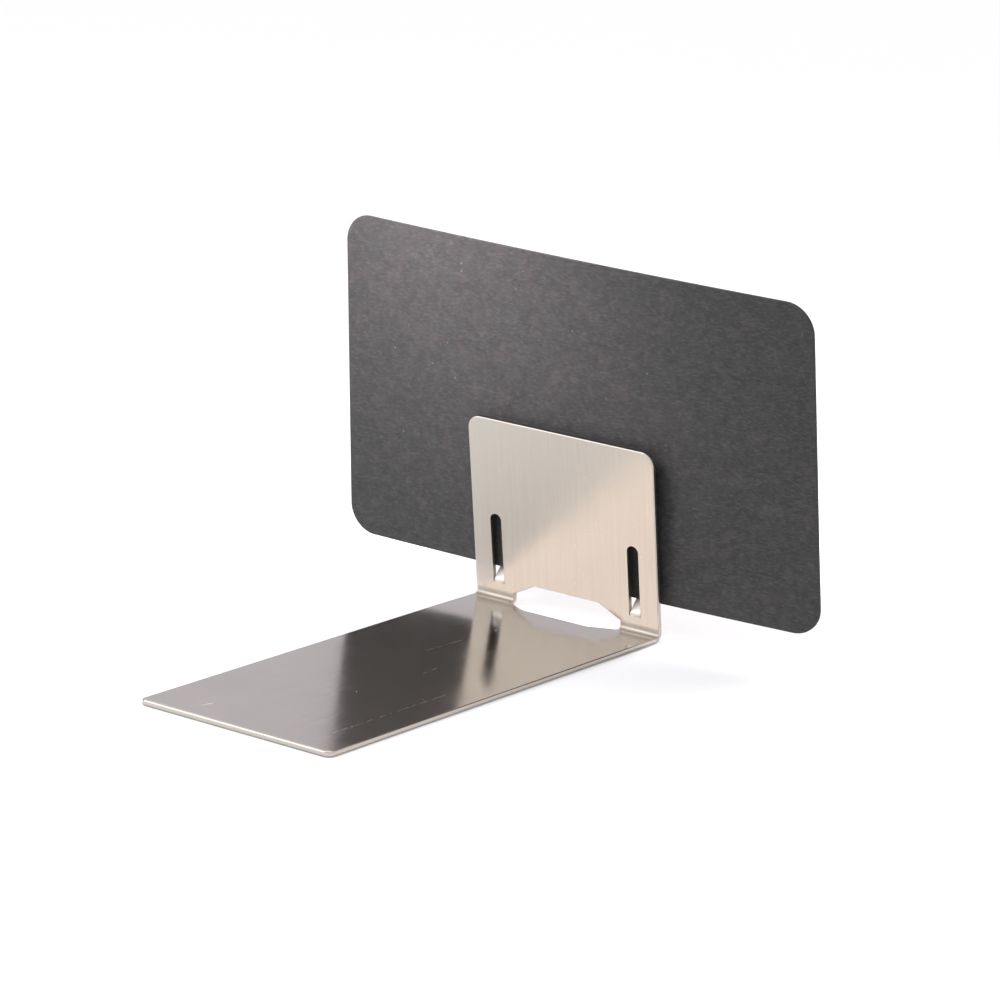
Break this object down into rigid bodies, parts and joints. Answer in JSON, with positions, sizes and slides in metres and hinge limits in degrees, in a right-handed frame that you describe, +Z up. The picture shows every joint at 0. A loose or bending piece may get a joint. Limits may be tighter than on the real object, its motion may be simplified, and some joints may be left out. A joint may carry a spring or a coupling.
{
  "type": "card stand",
  "caption": "Small stand bent from brushed sheet steel: flat tongue, leaning upstand and lanced hooks that hold a thin dark card upright; the card lifts out.",
  "frame": {"origin": "middle of the tongue's underside, on the surface that the stand rests on", "axes": "+X across the strip and along the card's width, +Y back along the tongue, +Z up; the card is read from the -Y side"},
  "size_m": [0.09, 0.0858, 0.0597],
  "materials": {
    "steel": "brushed stainless, grain along the strip",
    "board": "matt solid fibre board, fine flecks"
  },
  "bodies": {
    "stand": {"stand": "steel"},
    "card": {"card": "board"}
  },
  "joints": [
    {"name": "card_lift", "type": "slide", "parent": "stand", "child": "card", "axis": [0, 0.134, 0.991], "range_m": [0, 0.012]}
  ]
}
